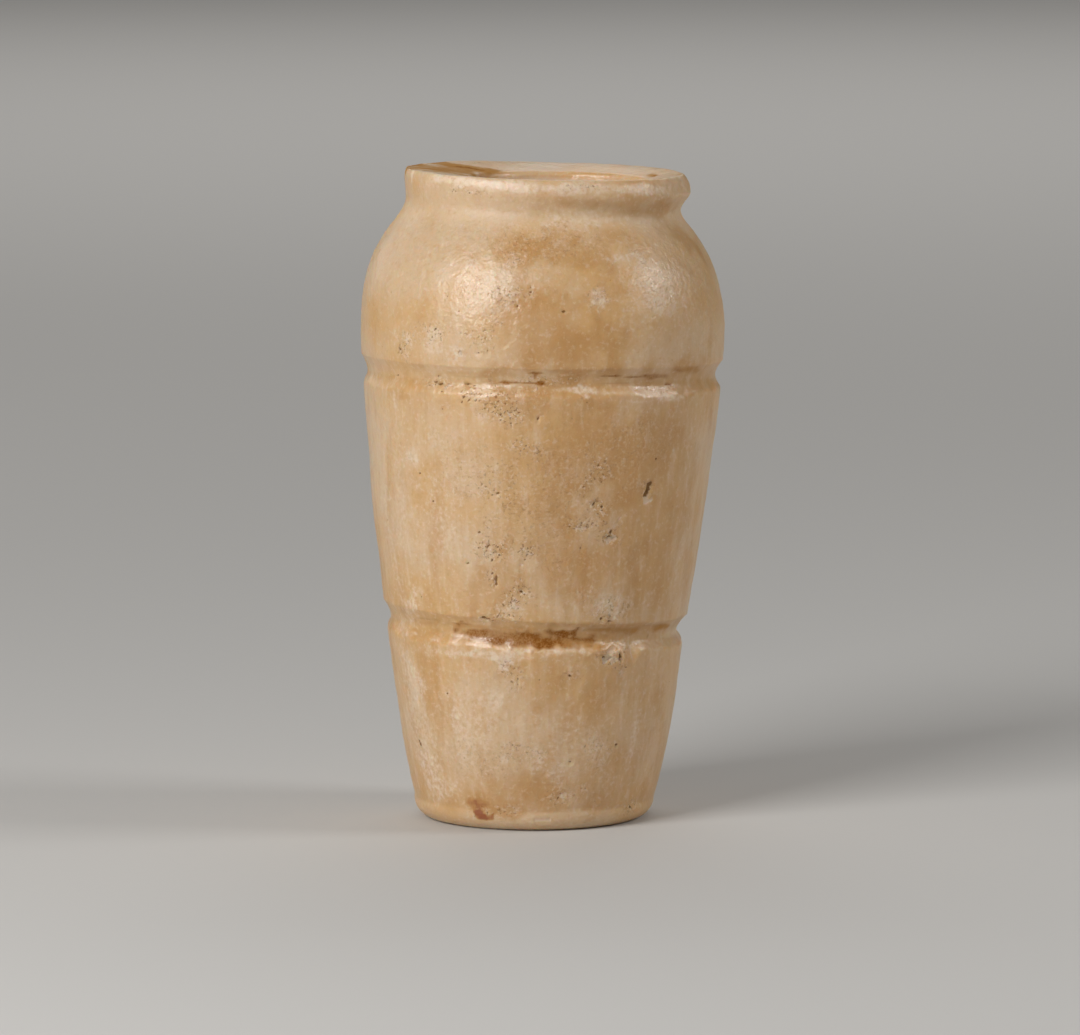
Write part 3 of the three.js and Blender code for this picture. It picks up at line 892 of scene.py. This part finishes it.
def dressed_skin(look):
    """The stone's surface with its dressing, wear, pits, chips and stains, and painted light and shade in
    its colour layers.
    """
    skin = Skin()
    broad = skin.rough(38, 1, 2)
    middling = skin.rough(11, 2, 3)
    ragged = skin.rough(3.2, 3, 2)
    patchy = skin.rough(9, 4, 3)
    strokes = skin.rough(5.5, 5, 2, upright=9)
    facets = np.abs(skin.rough(2.6, 6, 1))
    wall = np.where(skin.zone == "wall", 1.0, 0.0) * np.ones(skin.reach.shape)
    rim = np.where(skin.zone == "lip", 1.0, 0.0) * np.ones(skin.reach.shape)
    hollow = np.where(skin.zone == "hollow", 1.0, 0.0) * np.ones(skin.reach.shape)
    worked = wall * mix(1, 0.15, smooth_step(skin.points[..., 2], UPPER_GROOVE, BELLY))
    skin.depth += look.skin_cut * 1000 * (wall + rim) * (
        1.5 + 1.1 * np.clip(broad, -1, 1) + 0.45 * middling + 0.5 * worked * strokes + 0.25 * ragged
    )
    skin.depth += hollow * 0.25 * (1 + skin.rough(14, 8, 2))
    skin.depth = np.maximum(skin.depth, SKIN_INSET * (wall + rim + hollow))

    placed = [(*skin.place(mark.x, mark.y), mark) for mark in PITS]
    sink_pits(skin, placed, look.pit_depth * 1000, ragged)
    sink_pits(skin, scattered(skin, BACK_PITS, 7), look.pit_depth * 1000, ragged)
    break_chips(skin, CHIPS, look.chip_depth * 1000, skin.rough(1.8, 9, 2), facets)
    for name, marks, outline in (
        ("dirt_and_shade", DIRT_AND_SHADE, ragged),
        ("rust", RUST, ragged),
        ("pale", PALE, patchy),
        ("amber", AMBER, patchy),
        ("pitted", PITTED, patchy),
        ("brown", BROWN, patchy),
    ):
        lay_patches(skin, name, marks, outline)

    behind = smooth_step(np.sin(TURNS), -0.1, 0.6)
    for groove in GROOVES:
        near = np.exp(-(((skin.points[..., 2] - groove.height) / 2.2) ** 2))
        soiled = smooth_step(wander(groove.seed + 40, 17), 0.1, 0.8)
        skin.lay("dirt_and_shade", 0.55 * near * soiled * behind * wall)
        # Partly stain, partly painted shade: a honey-brown band along each groove, standing in for the
        # shade on its upper flank.
        skin.lay("amber", 0.5 * near * wall)
    skin.lay("pale", 0.4 * smooth_step(skin.rough(26, 12, 3), 0.2, 0.9) * behind * wall)
    skin.lay("amber", 0.5 * smooth_step(skin.rough(30, 13, 3), 0.1, 0.9) * behind * wall)
    skin.lay("pitted", 0.6 * smooth_step(skin.rough(15, 14, 3), 0.15, 0.7) * behind * wall)
    # Painted shade: the wall grows browner and darker towards the foot.
    skin.lay("amber", 0.45 * (1 - smooth_step(skin.points[..., 2], 0, 62)) * wall)
    skin.lay("dusty", np.exp(-(((skin.points[..., 2] - NECK + 3) / 5) ** 2)) * wall)
    # The inside, which the finish paints paler as if lit.
    skin.lay("hollow", hollow)
    skin.lay("worked", worked)
    return skin


def stone_mesh(skin, name):
    """One closed mesh in metres: the rows of the skin, and a fan at each end."""
    scale = (JAR_BOX[1].z - JAR_BOX[0].z) / skin.points[..., 2].max()
    points = (skin.points - skin.normal * skin.depth[..., None]) * scale
    flat = skin.zone[:, 0] == "foot"
    points[flat, :, 2] = np.maximum(points[flat, :, 2], 0)
    rows, columns = skin.reach.shape
    vertices = np.concatenate([points.reshape(-1, 3), [[0, 0, 0], [0, 0, FLOOR * scale]]])
    grid = np.arange(rows * columns).reshape(rows, columns)
    after = np.roll(grid, -1, axis=1)
    quads = np.stack([grid[:-1], after[:-1], after[1:], grid[1:]], axis=-1).reshape(-1, 4)
    under = np.stack([np.full(columns, rows * columns), after[0], grid[0]], axis=-1)
    floor = np.stack([np.full(columns, rows * columns + 1), grid[-1], after[-1]], axis=-1)
    mesh = bpy.data.meshes.new(name)
    mesh.from_pydata(vertices.tolist(), [], quads.tolist() + under.tolist() + floor.tolist())
    mesh.shade_smooth()
    for layer, values in skin.layers.items():
        attribute = mesh.attributes.new(layer, "FLOAT", "POINT")
        attribute.data.foreach_set("value", np.concatenate([values.reshape(-1), [0, 0]]).astype(np.float32))
    return mesh


class Wire:
    """A number that flows through a finish. Arithmetic on it adds the nodes that work it out."""

    def __init__(self, finish, socket):
        self.finish = finish
        self.socket = socket

    def _math(self, operation, first, second):
        return self.finish.node("ShaderNodeMath", {"operation": operation}, {0: first, 1: second})

    def __add__(self, other):
        return self._math("ADD", self, other)

    __radd__ = __add__

    def __mul__(self, other):
        return self._math("MULTIPLY", self, other)

    __rmul__ = __mul__

    def __sub__(self, other):
        return self._math("SUBTRACT", self, other)

    def __rsub__(self, other):
        return self._math("SUBTRACT", other, self)

    def above(self, low, high):
        """0 below low and 1 above high, smooth in between."""
        settings = {"interpolation_type": "SMOOTHSTEP"}
        return self.finish.node("ShaderNodeMapRange", settings, {0: self, 1: low, 2: high})


class Finish:
    """A material in the making. Its methods add nodes and give back what comes out of them."""

    def __init__(self, name):
        self.material = bpy.data.materials.new(name)
        self.material.use_nodes = True
        self.nodes = self.material.node_tree.nodes
        self.nodes.clear()

    def node(self, kind, settings=None, values=None, output=0):
        made = self.nodes.new(kind)
        for name, value in (settings or {}).items():
            setattr(made, name, value)
        for name, value in (values or {}).items():
            if isinstance(value, Wire):
                self.material.node_tree.links.new(value.socket, made.inputs[name])
            else:
                made.inputs[name].default_value = value
        return Wire(self, made.outputs[output]) if made.outputs else None

    def mix(self, factor, first, second):
        """The first colour where the factor is 0, and the second where it is 1."""
        return self.node("ShaderNodeMix", {"data_type": "RGBA"}, {0: factor, 6: first, 7: second}, 2)

    def layer(self, name):
        """A layer that the mesh carries."""
        return self.node("ShaderNodeAttribute", {"attribute_name": name}, {}, "Fac")

    def cloud(self, size, seed, detail=3.0, rough=0.5, upright=1.0):
        """Seeded noise from 0 to 1 on the stone, with lumps of that size in millimetres."""
        where = self.node("ShaderNodeTexCoord", {}, {}, "Object")
        scale = 1000.0 / size
        settings = {"operation": "MULTIPLY_ADD"}
        spread = {0: where, 1: (scale, scale, scale / upright), 2: (seed * 3.7, seed * 1.9, seed * 2.3)}
        moved = self.node("ShaderNodeVectorMath", settings, spread)
        values = {"Vector": moved, "Scale": 1.0, "Detail": detail, "Roughness": rough}
        return self.node("ShaderNodeTexNoise", {"noise_dimensions": "3D"}, values)

    def done(self, shader):
        self.node("ShaderNodeOutputMaterial", {}, {"Surface": shader})
        return self.material


def opaque(colour):
    """The colour with full cover."""
    return (*colour, 1.0)


def alabaster(look):
    """Calcite alabaster: cloudy honey and cream, worn to a dull shine and slightly see-through."""
    stone = Finish("alabaster")
    coarse = stone.cloud(34, 1, 2)
    mottle = stone.cloud(9, 2, 3, 0.6)
    grain = stone.cloud(1.6, 3, 3, 0.6)
    fine = stone.cloud(0.7, 4, 2)
    strokes = stone.cloud(2.8, 5, 3, 0.6, upright=7)
    bands = stone.cloud(9.0, 6, 3, 0.55, upright=6)
    worked = stone.layer("worked")

    colour = stone.mix(coarse.above(0.35, 0.65), opaque(look.honey), opaque(look.cream))
    amber = (stone.layer("amber") + 0.4 * (mottle - 0.5)).above(0.0, 1.15)
    colour = stone.mix(amber, colour, opaque(look.amber))
    colour = stone.mix(worked * 0.28 * strokes.above(0.5, 0.75), colour, opaque(look.pale))
    colour = stone.mix(worked * 0.3 * (1 - strokes).above(0.5, 0.75), colour, opaque(look.amber))
    colour = stone.mix(worked * 0.55 * bands.above(0.48, 0.7), colour, opaque(look.amber))
    # The pale layer: whitish bloom and fresh stone, with the painted highlights and painted light that are
    # laid in it.
    bloom_and_painted_light = stone.layer("pale") * (0.55 + 0.7 * grain.above(0.35, 0.7))
    colour = stone.mix(0.8 * bloom_and_painted_light.above(0.0, 1.1), colour, opaque(look.pale))
    colour = stone.mix(0.25 * mottle.above(0.5, 0.75), colour, opaque(look.amber))
    colour = stone.mix(0.3 * grain.above(0.52, 0.72), colour, opaque(look.pale))
    colour = stone.mix(0.3 * (1 - grain).above(0.54, 0.74), colour, opaque(look.amber))
    pitted = stone.layer("pitted")
    flecks = pitted * stone.cloud(1.1, 11, 2, 0.6).above(0.5, 0.68)
    colour = stone.mix(0.75 * flecks, colour, opaque(look.pale))
    pores = pitted * stone.cloud(1.0, 12, 3, 0.65).above(0.56, 0.68)
    colour = stone.mix(0.75 * pores, colour, opaque(look.pit))
    # Painted light: the whole inside is mixed far towards pale, so the bore's inner wall reads as lit.
    colour = stone.mix(0.8 * stone.layer("hollow"), colour, opaque(look.pale))
    brown = (stone.layer("brown") * (0.3 + mottle + 0.4 * grain)).above(0.1, 1.15)
    colour = stone.mix(0.92 * brown, colour, opaque(look.ochre))
    # Dirt in the grooves and hollows, and the painted shadow in the left of the bore and on the lip, turned
    # ochre with a soil-dark core.
    dirt_and_shade = stone.layer("dirt_and_shade")
    colour = stone.mix(0.85 * (dirt_and_shade * (0.5 + grain)).above(0.05, 0.7), colour, opaque(look.ochre))
    soiled = (dirt_and_shade * (0.1 + 1.1 * fine + 0.8 * grain)).above(0.4, 1.3)
    colour = stone.mix(soiled, colour, opaque(look.soil))
    rust = stone.layer("rust") * (0.4 + 1.2 * grain)
    colour = stone.mix(0.9 * rust.above(0.15, 0.55), colour, opaque(look.amber))
    colour = stone.mix(0.9 * rust.above(0.25, 0.95), colour, opaque(look.rust))
    chips = (stone.layer("chips") + 0.5 * (grain - 0.5)).above(0.25, 0.6)
    colour = stone.mix(0.45 * chips, colour, opaque(look.pale))
    pits = (stone.layer("pits") + 0.25 * (fine - 0.5)).above(0.46, 0.62)
    colour = stone.mix(0.85 * pits, colour, opaque(look.pit))

    lumps = stone.cloud(4.5, 13, 2, 0.6)
    height = 1.2 * lumps + 0.45 * grain + 0.2 * fine + 0.3 * strokes * worked - 0.6 * pits
    height = height + 0.3 * flecks - 1.2 * pores - 0.4 * chips
    bump = stone.node("ShaderNodeBump", {}, {"Strength": 0.8, "Distance": 0.0004, "Height": height})
    worn = 0.12 * chips + 0.16 * bloom_and_painted_light + 0.25 * stone.layer("dusty")
    shine = look.roughness + 0.12 * grain.above(0.3, 0.7) + 0.06 * fine.above(0.3, 0.7) + worn
    polished = stone.node("ShaderNodeBsdfPrincipled", {}, {
        "Base Color": colour,
        "Roughness": shine,
        "Normal": bump,
        "IOR": 1.55,
        "Specular IOR Level": 0.75,
        "Subsurface Weight": 0.6,
        "Subsurface Radius": (1.0, 0.5, 0.22),
        "Subsurface Scale": 0.005,
    })
    dull = stone.node("ShaderNodeBsdfPrincipled", {}, {
        "Base Color": colour,
        "Roughness": 0.9,
        "Normal": bump,
        "Specular IOR Level": 0.1,
    })
    crusted = (brown + soiled + pits + pores).above(0.05, 0.9)
    return stone.done(stone.node("ShaderNodeMixShader", {}, {0: crusted, 1: polished, 2: dull}))


def plain_finish(colour):
    """The plain pale finish of the floor."""
    floor = Finish("pale_floor")
    shader = floor.node("ShaderNodeBsdfPrincipled", {}, {"Base Color": opaque(colour), "Roughness": 0.85})
    return floor.done(shader)


class StoneLook(bpy.types.PropertyGroup):
    """Sizes and colours of the stone."""

    skin_cut: bpy.props.FloatProperty(
        name="Dressing", description="Depth of the hand dressing of the wall",
        default=0.00022, min=0.0, max=0.001, subtype="DISTANCE", unit="LENGTH",
    )
    pit_depth: bpy.props.FloatProperty(
        name="Pit depth", description="Depth of the deepest pits",
        default=0.0011, min=0.0, max=0.004, subtype="DISTANCE", unit="LENGTH",
    )
    chip_depth: bpy.props.FloatProperty(
        name="Chip depth", description="Depth of the broken flakes",
        default=0.0004, min=0.0, max=0.004, subtype="DISTANCE", unit="LENGTH",
    )
    roughness: bpy.props.FloatProperty(
        name="Roughness", description="Roughness of the worn polish",
        default=0.27, min=0.05, max=1.0, subtype="FACTOR",
    )
    # Cream and honey are the stone's body. Amber also paints shade at the foot, on the right side and on
    # the grooves' upper flanks; pale also paints the highlights on the rim, neck and shoulder and the light
    # on the grooves' lower lips and the left side; ochre and soil also paint the shade on the left of the
    # lip and the shadow in the bore.
    cream: bpy.props.FloatVectorProperty(
        name="Cream", description="Pale body of the stone",
        default=(0.68, 0.486, 0.298), min=0.0, max=1.0, subtype="COLOR",
    )
    honey: bpy.props.FloatVectorProperty(
        name="Honey", description="Warmer body of the stone",
        default=(0.655, 0.404, 0.175), min=0.0, max=1.0, subtype="COLOR",
    )
    amber: bpy.props.FloatVectorProperty(
        name="Amber", description="Honey-brown patches and bands",
        default=(0.535, 0.282, 0.086), min=0.0, max=1.0, subtype="COLOR",
    )
    pale: bpy.props.FloatVectorProperty(
        name="Pale", description="Whitish bloom and fresh stone",
        default=(0.80, 0.65, 0.50), min=0.0, max=1.0, subtype="COLOR",
    )
    soil: bpy.props.FloatVectorProperty(
        name="Soil", description="Dirt packed in the grooves",
        default=(0.23, 0.075, 0.01), min=0.0, max=1.0, subtype="COLOR",
    )
    ochre: bpy.props.FloatVectorProperty(
        name="Ochre", description="The stain round the dirt, and on top of the lip",
        default=(0.43, 0.20, 0.042), min=0.0, max=1.0, subtype="COLOR",
    )
    rust: bpy.props.FloatVectorProperty(
        name="Rust", description="Red-brown stains",
        default=(0.32, 0.075, 0.016), min=0.0, max=1.0, subtype="COLOR",
    )
    pit: bpy.props.FloatVectorProperty(
        name="Pit", description="The dark inside of the pits",
        default=(0.21, 0.098, 0.034), min=0.0, max=1.0, subtype="COLOR",
    )


class StageLook(bpy.types.PropertyGroup):
    """The floor and the light."""

    floor_radius: bpy.props.FloatProperty(
        name="Floor radius", description="Radius of the floor",
        default=14.0, min=1.0, max=40.0, subtype="DISTANCE", unit="LENGTH",
    )
    floor_colour: bpy.props.FloatVectorProperty(
        name="Floor", description="Colour of the floor",
        default=(0.60, 0.585, 0.56), min=0.0, max=1.0, subtype="COLOR",
    )
    sky_colour: bpy.props.FloatVectorProperty(
        name="Sky", description="Colour of the light from all round",
        default=(1.0, 0.97, 0.93), min=0.0, max=1.0, subtype="COLOR",
    )
    sky_strength: bpy.props.FloatProperty(
        name="Sky strength", description="Strength of the light from all round",
        default=0.12, min=0.0, max=2.0,
    )
    backdrop_distance: bpy.props.FloatProperty(
        name="Backdrop distance", description="How far behind the jar the overhead light stands",
        default=4.2, min=1.0, max=12.0, subtype="DISTANCE", unit="LENGTH",
    )
    backdrop_power: bpy.props.FloatProperty(
        name="Backdrop light", description="Power of the overhead light behind the jar",
        default=70.0, min=0.0, max=400.0, unit="POWER",
    )
    key_power: bpy.props.FloatProperty(
        name="Key light", description="Power of the softbox on the left",
        default=25.5, min=0.0, max=200.0, unit="POWER",
    )
    side_power: bpy.props.FloatProperty(
        name="Side light", description="Power of the softbox on the right",
        default=9.5, min=0.0, max=200.0, unit="POWER",
    )


class STONE_OT_build(bpy.types.Operator):
    """Build the jar's stone from its form, with all its marks"""

    bl_idname = "canopic_jar.build_stone"
    bl_label = "Build the Stone"

    def execute(self, context):
        look = context.scene.jar_stone
        stone = bpy.data.objects.new("jar_stone", stone_mesh(dressed_skin(look), "jar_stone"))
        context.scene.collection.objects.link(stone)
        stone.data.materials.append(alabaster(look))
        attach(stone, "root")
        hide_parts("jar")
        return {"FINISHED"}


def soft_light(box, power, aim):
    """A square softbox of that power, which shines at the aim."""
    light = bpy.data.lights.new(box.name, "AREA")
    light.shape = "SQUARE"
    light.size = box.width
    light.energy = power
    lamp = bpy.data.objects.new(box.name, light)
    turn = math.radians(box.side)
    lift = math.radians(box.climb)
    level = math.cos(lift)
    outward = Vector((math.sin(turn) * level, -math.cos(turn) * level, math.sin(lift)))
    lamp.location = aim + outward * box.away
    lamp.rotation_euler = (-outward).to_track_quat("-Z", "Y").to_euler()
    lamp.visible_camera = False
    return lamp


class STAGE_OT_build(bpy.types.Operator):
    """Build the floor, the soft lights and the camera of the photograph"""

    bl_idname = "canopic_jar.build_stage"
    bl_label = "Build the Stage"

    def execute(self, context):
        stage = context.scene.jar_stage
        link = context.scene.collection.objects.link
        ring = [FULL_TURN * i / FLOOR_SIDES for i in range(FLOOR_SIDES)]
        wide = stage.floor_radius
        corners = [(math.cos(t) * wide, math.sin(t) * wide, 0.0) for t in ring]
        mesh = bpy.data.meshes.new("floor")
        mesh.from_pydata(corners, [], [list(range(len(corners)))])
        mesh.materials.append(plain_finish(stage.floor_colour))
        floor = bpy.data.objects.new("floor", mesh)
        link(floor)

        sky = bpy.data.worlds.new("soft_sky")
        sky.use_nodes = True
        backdrop = sky.node_tree.nodes["Background"]
        backdrop.inputs["Color"].default_value = opaque(stage.sky_colour)
        backdrop.inputs["Strength"].default_value = stage.sky_strength
        context.scene.world = sky

        low, high = JAR_BOX
        aim = (low + high) / 2
        link(soft_light(KEY_BOX, stage.key_power, aim))
        link(soft_light(SIDE_BOX, stage.side_power, aim))
        link(soft_light(EDGE_BOX, EDGE_POWER, aim))
        background = Vector((0, stage.backdrop_distance, 0))
        link(soft_light(BACKDROP_BOX, stage.backdrop_power, background))

        camera = bpy.data.cameras.new("camera")
        camera.sensor_fit = "HORIZONTAL"
        camera.sensor_width = SENSOR_WIDTH
        camera.lens = FOCAL_PIXELS / PHOTO_WIDTH * SENSOR_WIDTH
        camera.clip_end = CAMERA_REACH
        viewer = bpy.data.objects.new("camera", camera)
        viewer.location = Vector(CAMERA_AT) / 1000
        viewer.rotation_euler = Euler((QUARTER - CAMERA_PITCH, 0, 0))
        link(viewer)
        context.scene.camera = viewer
        context.scene.view_settings.view_transform = "Standard"
        return {"FINISHED"}


class JAR_PT_panel(bpy.types.Panel):
    """The steps that build the jar, with what each can change"""

    bl_idname = "JAR_PT_panel"
    bl_label = "Canopic Jar"
    bl_space_type = "VIEW_3D"
    bl_region_type = "UI"
    bl_category = "Canopic Jar"

    def draw(self, context):
        for step, look in ((STONE_OT_build, "jar_stone"), (STAGE_OT_build, "jar_stage")):
            box = self.layout.box()
            box.operator(step.bl_idname)
            group = getattr(context.scene, look)
            for name in group.__annotations__:
                box.prop(group, name)


CLASSES = (StoneLook, StageLook, STONE_OT_build, STAGE_OT_build, JAR_PT_panel)


def register():
    for kind in CLASSES:
        bpy.utils.register_class(kind)
    bpy.types.Scene.jar_stone = bpy.props.PointerProperty(type=StoneLook)
    bpy.types.Scene.jar_stage = bpy.props.PointerProperty(type=StageLook)


def unregister():
    del bpy.types.Scene.jar_stage
    del bpy.types.Scene.jar_stone
    for kind in reversed(CLASSES):
        bpy.utils.unregister_class(kind)


def main():
    register()
    bpy.ops.canopic_jar.build_stage()
    bpy.ops.canopic_jar.build_stone()


if __name__ == "__main__":
    main()
